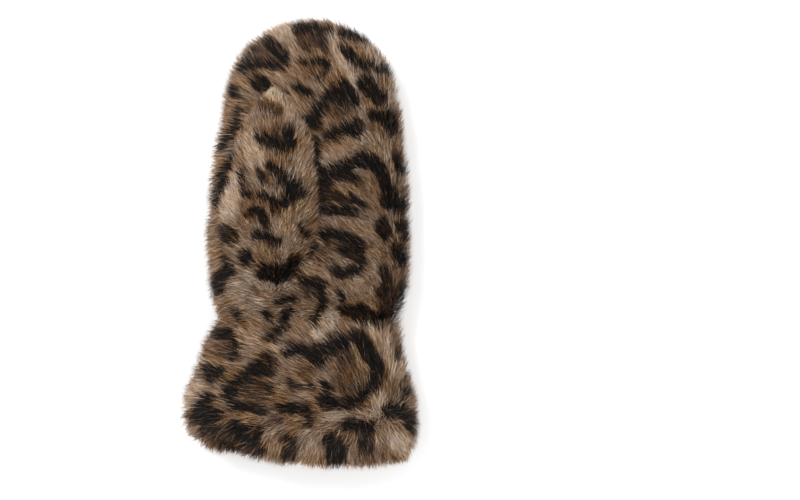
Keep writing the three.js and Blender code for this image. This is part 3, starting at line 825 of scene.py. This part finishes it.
def hair_shape():
    """One hair: a narrow ribbon, still without width, that stands up and then lies over."""
    mesh = bpy.data.meshes.new("hair")
    rows = [(0.0, 0.0, 0.0), (0.42, 0.72, 0.5), (1.0, 1.0, 1.0)]
    places = [(0.0, rows[i][0], rows[i][1]) for i in (0, 0, 1, 1, 2)]
    mesh.from_pydata(places, [], [(0, 1, 3, 2), (2, 3, 4)])
    sides = [-1.0, 1.0, -0.8, 0.8, 0.0]
    shares = [rows[i][2] for i in (0, 0, 1, 1, 2)]
    for name, values in (("side", sides), ("share", shares)):
        mesh.attributes.new(name, "FLOAT", "POINT").data.foreach_set("value", values)
    return add_object("hair", mesh)


def add_object(name, data):
    """A new object in the scene, with its mesh, lamp or lens."""
    made = bpy.data.objects.new(name, data)
    bpy.context.scene.collection.objects.link(made)
    return made


def root_points(name, hairs):
    """A mesh of bare points, one for each root, that carries each hair's values."""
    mesh = bpy.data.meshes.new(name)
    mesh.vertices.add(len(hairs["root"]))
    mesh.vertices.foreach_set("co", in_frame(hairs["root"]).ravel())
    for key in ("up", "comb", "across", "pull"):
        values = hairs[key] * (MM if key == "pull" else 1.0)
        mesh.attributes.new(key, "FLOAT_VECTOR", "POINT").data.foreach_set("vector", values.ravel())
    for key in ("reach", "rise", "tone"):
        values = hairs[key] * (1.0 if key == "tone" else MM)
        mesh.attributes.new(key, "FLOAT", "POINT").data.foreach_set("value", values)
    return add_object(name, mesh)


def evaluated_mesh(made, tree, inputs):
    """What a Geometry Nodes tree makes of an object, as a plain mesh."""
    modifier = made.modifiers.new(tree.name, "NODES")
    modifier.node_group = tree
    for item in tree.interface.items_tree:
        if item.in_out == "INPUT" and item.name in inputs:
            modifier[item.identifier] = inputs[item.name]
    seen = made.evaluated_get(bpy.context.evaluated_depsgraph_get())
    mesh = bpy.data.meshes.new_from_object(seen)
    made.modifiers.remove(modifier)
    return mesh


def soften_normals(mesh):
    """Turns the hairs' shading normals half-way to the pelt's own."""
    count = len(mesh.vertices)
    own, pelt = np.empty(count * 3), np.empty(count * 3)
    mesh.vertex_normals.foreach_get("vector", own)
    mesh.attributes["up"].data.foreach_get("vector", pelt)
    own, pelt = own.reshape(-1, 3), pelt.reshape(-1, 3)
    mixed = own + 0.9 * pelt
    mixed /= np.maximum(np.linalg.norm(mixed, axis=1, keepdims=True), 1e-6)
    mesh.normals_split_custom_set_from_vertices(mixed)


def grow(name, hairs, tree, hair, finish, replaced):
    """One piece of fur, grown on its roots and made a plain mesh."""
    roots = root_points(name, hairs)
    inputs = {
        "Hair": hair,
        "Half Width": HALF_WIDTH * MM,
        "Floor Height": FLOOR_CLEARANCE * MM,
        "Finish": finish,
    }
    mesh = evaluated_mesh(roots, tree, inputs)
    soften_normals(mesh)
    for key in ("up", "comb", "across", "pull", "reach", "rise", "tone", "side", "share"):
        if key in mesh.attributes:
            mesh.attributes.remove(mesh.attributes[key])
    bare = roots.data
    roots.data = mesh
    bpy.data.meshes.remove(bare)
    mesh.name = name
    finish_piece(roots, replaced)
    return roots


def finish_piece(made, replaced):
    """Says which body carries a piece and which solids it replaces."""
    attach(made, "root")
    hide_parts(*replaced)


def joined_shell(name, outer, inner, closed, finishes, replaced):
    """A closed wall between an outer and an inner grid of points, joined round their rims."""
    rows, columns = outer.shape[:2]
    points = in_frame(np.concatenate([outer.reshape(-1, 3), inner.reshape(-1, 3)]))
    second = rows * columns

    def spot(i, j, layer):
        return layer * second + i * columns + j % columns

    across = columns if closed else columns - 1
    faces, looks = [], []

    def add(face, look):
        faces.append(face)
        looks.append(look)

    def join(one, two):
        add([spot(*one, 0), spot(*two, 0), spot(*two, 1), spot(*one, 1)], 0)

    for i in range(rows - 1):
        for j in range(across):
            quad = [(i, j), (i + 1, j), (i + 1, j + 1), (i, j + 1)]
            add([spot(*corner, 0) for corner in quad], 0)
            add([spot(*corner, 1) for corner in reversed(quad)], 1)
    for j in range(across):
        join((0, j), (0, j + 1))
        join((rows - 1, j + 1), (rows - 1, j))
    if not closed:
        for i in range(rows - 1):
            join((i + 1, 0), (i, 0))
            join((i, columns - 1), (i + 1, columns - 1))
    mesh = bpy.data.meshes.new(name)
    mesh.from_pydata(points.tolist(), [], faces)
    for finish in finishes:
        mesh.materials.append(finish)
    mesh.polygons.foreach_set("material_index", looks)
    facing_out(mesh)
    made = add_object(name, mesh)
    finish_piece(made, replaced)
    return made


def facing_out(mesh):
    """Turns every face of a closed mesh outwards, and shades it smooth."""
    work = bmesh.new()
    work.from_mesh(mesh)
    bmesh.ops.remove_doubles(work, verts=work.verts, dist=1e-6)
    bmesh.ops.recalc_face_normals(work, faces=work.faces)
    if work.calc_volume(signed=True) < 0:
        bmesh.ops.reverse_faces(work, faces=work.faces)
    for face in work.faces:
        face.smooth = True
    work.to_mesh(mesh)
    work.free()


def pelt_pieces(backing, fleece):
    """The soft walls under the fur: palm, back and cuff, hollow, and the thumb's lobe."""
    along = np.concatenate([np.linspace(0.0, 0.8, 34), np.linspace(0.82, 1.0, 16)])[:, None]
    for name, turns, replaced in (
        ("pelt_palm", np.linspace(0, math.pi, 49), "palm_panel"),
        ("pelt_back", np.linspace(math.pi, 2 * math.pi, 49), "back_panel"),
    ):
        outer = body_point(HAND_PELT, along, turns[None, :])
        inner = body_point(HAND_HOLLOW, along, turns[None, :])
        joined_shell(name, outer, inner, False, (backing, fleece), (replaced,))
    turns = np.linspace(0, 2 * math.pi, 97)[:-1]
    along = np.linspace(0.0, 1.0, 30)[:, None]
    outer = body_point(CUFF_PELT, along, turns[None, :])
    inner = body_point(CUFF_HOLLOW, along, turns[None, :])
    rim = (outer[-1:] + inner[-1:]) / 2 - (0.0, 2.4, 0.0)
    outer, inner = np.concatenate([outer, rim]), np.concatenate([inner, rim + (0.0, 0.4, 0.0)])
    joined_shell("pelt_cuff", outer, inner, True, (backing, fleece), ("cuff",))
    places = LOBE_PLACES[:, None]
    outer = lobe_point(places, turns[None, :], THUMB_PILE)
    inner = lobe_point(places, turns[None, :], 1.9 * THUMB_PILE)
    names = ("thumb", "thumb_gusset")
    joined_shell("pelt_thumb", outer, inner, True, (backing, fleece), names)


def cuff_length(roots):
    """The cuff's hair gets shorter towards the hem."""
    return CUFF_HAIR + (HEM_HAIR - CUFF_HAIR) * eased(-roots[:, 1], 108.0, 128.0)


def thumb_length(roots):
    """The thumb's hair gets shorter towards its tip."""
    return THUMB_HAIR * (1 - 0.55 * eased(roots[:, 1], 60.0, 92.0))


def on_palm(grid, normals):
    """How dense the palm's hair is: none is set under the thumb."""
    return np.where(over_lobe(grid, 5.0), 0.0, 1.0)


def on_lobe(grid, normals):
    """How dense the thumb's hair is: none is set where the thumb lies on the palm."""
    steepest = np.where(grid[..., 1] > 76.0, -0.9, -0.45)
    return np.where((normals[..., 2] < steepest) | (grid[..., 2] < 31.0), 0.0, 1.0)


def everywhere(grid, normals):
    """How dense hair is elsewhere: less where it is lain on, and none on the patch."""
    return np.where(over_patch(grid), 0.0, np.where(normals[..., 2] < -0.8, 0.6, 1.0))


def even(grid, normals):
    """The same density all over."""
    return np.ones(grid.shape[:2])


def cuff_rim(around):
    """The band over the cuff's rim, from just outside it to just inside."""
    near_hem = np.linspace(0.94, 1.0, 6)[:, None]
    outside = body_point(CUFF_PELT, near_hem, around)
    inside = body_point(CUFF_HOLLOW, near_hem[:-5:-1], around)
    edge = (outside[-1:] + inside[:1]) / 2 - (0.0, 2.4, 0.0)
    return np.concatenate([outside, edge, inside])


def fur_pieces(fur):
    """All the fur, in pieces of under 200,000 triangles each."""
    tree, hair = fur_tree(), hair_shape()
    upper = np.linspace(0, math.pi, 260)[None, :]
    under = np.linspace(math.pi, 2 * math.pi, 220)[None, :]
    around = np.linspace(0, 2 * math.pi, 300)[None, :]
    high = np.linspace(PALM_SPLIT, 1.0, 240)[:, None]
    low = np.linspace(0.0, PALM_SPLIT, 220)[:, None]
    cuff = np.linspace(0.0, 1.0, 220)[:, None]
    back = np.linspace(0.0, 1.0, 300)[:, None]
    lobe = np.linspace(LOBE_PLACES[0], LOBE_PLACES[-1], 260)[:, None]
    pieces = {
        "fur_palm_upper": (body_point(HAND_PELT, high, upper), on_palm, HAND_HAIR),
        "fur_palm_lower": (body_point(HAND_PELT, low, upper), on_palm, HAND_HAIR),
        "fur_thumb": (lobe_point(lobe, around, THUMB_PILE), on_lobe, thumb_length),
        "fur_cuff_top": (body_point(CUFF_PELT, cuff, upper), everywhere, cuff_length),
        "fur_back": (body_point(HAND_PELT, back, under), everywhere, HAND_HAIR),
        "fur_cuff_under": (body_point(CUFF_PELT, cuff, under), everywhere, cuff_length),
        "fur_rim": (cuff_rim(around), even, RIM_HAIR),
    }
    for index, (name, (grid, weight, length)) in enumerate(pieces.items()):
        count, replaced = HAIRS[name]
        on_thumb = name == "fur_thumb"
        comb, marks = (THUMB_COMB, THUMB_MARKS) if on_thumb else (UPPER_COMB, UPPER_MARKS)
        hairs = hairs_on(grid, weight, count, comb, marks, length, FIRST_SEED + 10 * index)
        grow(name, hairs, tree, hair, fur, replaced)
    bpy.data.objects.remove(hair)


def linear(red, green, blue):
    """A colour read as 0 to 255 on screen, as Blender wants it."""
    values = [channel / 255 for channel in (red, green, blue)]
    return tuple(v / 12.92 if v <= 0.04045 else ((v + 0.055) / 1.055) ** 2.4 for v in values) + (1.0,)


# The fur's colours by tone, from black to pale tan
FUR_COLOURS = [
    (0.0, linear(10, 8, 7)),
    (0.2, linear(38, 29, 24)),
    (0.36, linear(88, 64, 47)),
    (0.5, linear(136, 103, 77)),
    (0.66, linear(180, 147, 118)),
    (0.82, linear(218, 191, 164)),
    (1.0, linear(244, 226, 204)),
]


def new_finish(name):
    """A new material, its nodes, its surface, and the place in the object that it is seen at."""
    finish = bpy.data.materials.new(name)
    finish.use_nodes = True
    tree = finish.node_tree
    where = node(tree, "ShaderNodeTexCoord").outputs["Object"]
    return finish, tree, tree.nodes["Principled BSDF"], where


def coloured(tree, surface, pattern, dark, pale):
    """Colours a surface from dark to pale by a pattern."""
    colour = node(tree, "ShaderNodeMix", {"data_type": "RGBA"}, _0=pattern, _6=dark, _7=pale)
    tree.links.new(colour.outputs[2], surface.inputs["Base Color"])


def bumped(tree, surface, pattern, strength, depth):
    """Bumps a surface by a pattern, to a depth in millimetres."""
    bump = node(tree, "ShaderNodeBump", Strength=strength, Distance=depth * MM, Height=pattern)
    tree.links.new(bump.outputs[0], surface.inputs["Normal"])


def ranged(tree, value, low, high, least, most):
    """A value from low to high, made one from least to most."""
    ends = {"From_Min": low, "From_Max": high, "To_Min": least, "To_Max": most}
    return node(tree, "ShaderNodeMapRange", Value=value, **ends).outputs[0]


def fur_finish():
    """Each hair's colour from its tone, with painted shade at the root and a painted highlight at the
    tip.
    """
    finish, tree, surface, where = new_finish("leopard_fur")
    place = node(tree, "ShaderNodeUVMap", {"uv_map": "OFBake"})
    parts = node(tree, "ShaderNodeSeparateXYZ", Vector=place.outputs[0])
    ramp = node(tree, "ShaderNodeValToRGB", Fac=parts.outputs[0])
    stops = ramp.color_ramp.elements
    for position, colour in FUR_COLOURS[1:-1]:
        stops.new(position).color = colour
    stops[0].color, stops[-1].color = FUR_COLOURS[0][1], FUR_COLOURS[-1][1]
    # Painted shade darkens each hair towards its root, where the hairs shade one another, and a
    # painted highlight lifts its tip
    root_shade_tip_highlight = ranged(tree, parts.outputs[1], 0.0, MAP_HEIGHT, 0.2, 1.17)
    scaling = {"operation": "SCALE"}
    tinted = node(tree, "ShaderNodeVectorMath", scaling, _0=ramp.outputs[0], Scale=root_shade_tip_highlight)
    patches = node(tree, "ShaderNodeTexNoise", Vector=where, Scale=70.0, Detail=2.0).outputs[0]
    warmth = ranged(tree, patches, 0.35, 0.65, 0.88, 1.22)
    warmed = node(tree, "ShaderNodeHueSaturation", Color=tinted.outputs[0], Saturation=warmth)
    tree.links.new(warmed.outputs[0], surface.inputs["Base Color"])
    tree.links.new(ranged(tree, patches, 0.0, 1.0, 0.48, 0.68), surface.inputs["Roughness"])
    surface.inputs["Specular IOR Level"].default_value = 0.2
    return finish


def cloth_finish(name, dark, pale, grain, depth):
    """A soft cloth: two near colours in fine cloudy grain, with a bump to match."""
    finish, tree, surface, where = new_finish(name)
    noise = {"Scale": grain, "Detail": 6.0, "Roughness": 0.65}
    grains = node(tree, "ShaderNodeTexNoise", Vector=where, **noise).outputs[0]
    coloured(tree, surface, grains, dark, pale)
    bumped(tree, surface, grains, 0.6, depth)
    surface.inputs["Roughness"].default_value = 0.9
    surface.inputs["Sheen Weight"].default_value = 0.3
    return finish


def leather_finish():
    """Matte brown leather: creased grain and cloudy colour."""
    finish, tree, surface, where = new_finish("brown_leather")
    edges = {"feature": "DISTANCE_TO_EDGE"}
    grain = node(tree, "ShaderNodeTexVoronoi", edges, Vector=where, Scale=1300.0).outputs[0]
    clouds = node(tree, "ShaderNodeTexNoise", Vector=where, Scale=240.0, Detail=5.0).outputs[0]
    coloured(tree, surface, clouds, linear(94, 66, 50), linear(128, 95, 75))
    bumped(tree, surface, grain, 0.5, 0.12)
    tree.links.new(ranged(tree, clouds, 0.0, 1.0, 0.5, 0.72), surface.inputs["Roughness"])
    return finish


def thread_finish():
    """Waxed thread, twisted fine across its length."""
    finish, tree, surface, where = new_finish("stitch_thread")
    bands = {"bands_direction": "DIAGONAL"}
    twist = node(tree, "ShaderNodeTexWave", bands, Vector=where, Scale=900.0).outputs[1]
    coloured(tree, surface, twist, linear(104, 82, 46), linear(150, 122, 74))
    bumped(tree, surface, twist, 0.5, 0.08)
    surface.inputs["Roughness"].default_value = 0.6
    return finish


def leather_patch(leather):
    """The bare patch: a leather plate with softened edges, stood off the floor by its stitches."""
    work = bmesh.new()
    low, high = patch_low / MM, patch_high / MM
    corners = []
    for x, y, first in (
        (high.x - PATCH_CORNER, high.y - PATCH_CORNER, 0),
        (low.x + PATCH_CORNER, high.y - PATCH_CORNER, 90),
        (low.x + PATCH_CORNER, low.y + PATCH_CORNER, 180),
        (high.x - PATCH_CORNER, low.y + PATCH_CORNER, 270),
    ):
        for step in range(7):
            angle = math.radians(first + 15 * step)
            corners.append((x + PATCH_CORNER * math.cos(angle), y + PATCH_CORNER * math.sin(angle)))
    bottom = [work.verts.new(Vector((x, y, PATCH_FACE)) * MM) for x, y in corners]
    face = work.faces.new(bottom)
    raised = bmesh.ops.extrude_face_region(work, geom=[face])["geom"]
    top = [item for item in raised if isinstance(item, bmesh.types.BMVert)]
    bmesh.ops.translate(work, verts=top, vec=(0, 0, high.z * MM - PATCH_FACE * MM))
    rims = [edge for edge in work.edges if abs(edge.verts[0].co.z - edge.verts[1].co.z) < 1e-7]
    bmesh.ops.bevel(work, geom=rims, offset=0.35 * MM, segments=3, affect="EDGES")
    bmesh.ops.recalc_face_normals(work, faces=work.faces)
    mesh = bpy.data.meshes.new("patch_leather")
    work.to_mesh(mesh)
    work.free()
    mesh.materials.append(leather)
    made = add_object("patch_leather", mesh)
    finish_piece(made, ("leather_patch",))


def stitch_tree():
    """Geometry Nodes that lay stitches end to end along a line of points."""
    lengths = {"Length": "Float", "Radius": "Float"}
    tree, given = new_tree(
        "lay_stitches", "Stitches", Places="Geometry", **lengths, Thread="Material"
    )
    ball = node(tree, "GeometryNodeMeshUVSphere", Segments=10, Rings=8, Radius=1.0)
    half = node(tree, "ShaderNodeMath", {"operation": "MULTIPLY"}, _0=given["Length"], _1=0.5)
    size = node(
        tree, "ShaderNodeCombineXYZ", X=given["Radius"], Y=half.outputs[0], Z=given["Radius"]
    )
    balls = {"Points": given["Places"], "Instance": ball.outputs[0], "Scale": size.outputs[0]}
    laid = node(tree, "GeometryNodeInstanceOnPoints", **balls)
    real = node(tree, "GeometryNodeRealizeInstances", Geometry=laid.outputs[0])
    return ended(tree, real.outputs[0], given["Thread"])


def patch_stitches(thread):
    """A short row of stitches at each short end of the patch."""
    low, high = patch_low / MM, patch_high / MM
    middle = (low.y + high.y) / 2
    places = []
    for x in (low.x + STITCH["inset"], high.x - STITCH["inset"]):
        for step in range(STITCH["count"]):
            y = middle + (step - (STITCH["count"] - 1) / 2) * STITCH["pitch"]
            places.append((x * MM, y * MM, (PATCH_FACE - 0.02) * MM))
    mesh = bpy.data.meshes.new("stitch_places")
    mesh.from_pydata(places, [], [])
    made = add_object("patch_stitches", mesh)
    inputs = {"Length": STITCH["length"] * MM, "Radius": STITCH["radius"] * MM, "Thread": thread}
    made.data = evaluated_mesh(made, stitch_tree(), inputs)
    made.data.name = "patch_stitches"
    made.data.polygons.foreach_set("use_smooth", [True] * len(made.data.polygons))
    finish_piece(made, ("leather_patch",))


def camera():
    """The camera looks straight down on the mitten."""
    lens = bpy.data.cameras.new("camera")
    lens.lens = CAMERA["lens"]
    lens.sensor_width = 36.0
    lens.clip_end = 200.0
    made = add_object("camera", lens)
    made.location = CAMERA["place"]
    bpy.context.scene.camera = made


def floor():
    """A plain white floor, wide enough for every view."""
    mesh = bpy.data.meshes.new("floor")
    half = FLOOR_HALF
    corners = [(-half, -half, 0), (half, -half, 0), (half, half, 0), (-half, half, 0)]
    mesh.from_pydata(corners, [], [(0, 1, 2, 3)])
    finish, _, surface, _ = new_finish("white_floor")
    surface.inputs["Base Color"].default_value = (0.93, 0.93, 0.93, 1.0)
    surface.inputs["Emission Color"].default_value = (1.0, 1.0, 1.0, 1.0)
    surface.inputs["Emission Strength"].default_value = 0.3
    surface.inputs["Roughness"].default_value = 0.9
    mesh.materials.append(finish)
    add_object("floor", mesh)


def area_light(name, place, size, power):
    """A round soft light at a place, turned to the mitten."""
    lamp = bpy.data.lights.new(name, "AREA")
    lamp.shape = "DISK"
    lamp.size = size
    lamp.energy = power
    made = add_object(name, lamp)
    made.location = place
    made.rotation_euler = (-Vector(place)).to_track_quat("-Z", "Y").to_euler()


def lights():
    """Bright even studio light, a little stronger from the upper left."""
    world = bpy.data.worlds.new("studio")
    world.use_nodes = True
    world.node_tree.nodes["Background"].inputs["Color"].default_value = (1.0, 1.0, 1.0, 1.0)
    world.node_tree.nodes["Background"].inputs["Strength"].default_value = 0.75
    bpy.context.scene.world = world
    bpy.context.scene.view_settings.view_transform = "Standard"
    area_light("key", (-0.8, 0.9, 1.6), 0.7, 16.0)
    area_light("fill", (1.2, -0.5, 1.4), 1.2, 7.0)


def main():
    floor()
    camera()
    lights()
    backing = cloth_finish("knitted_backing", linear(44, 34, 28), linear(86, 66, 50), 900.0, 0.4)
    fleece = cloth_finish("brown_fleece", linear(104, 82, 64), linear(150, 122, 98), 520.0, 0.9)
    pelt_pieces(backing, fleece)
    fur_pieces(fur_finish())
    leather_patch(leather_finish())
    patch_stitches(thread_finish())


main()
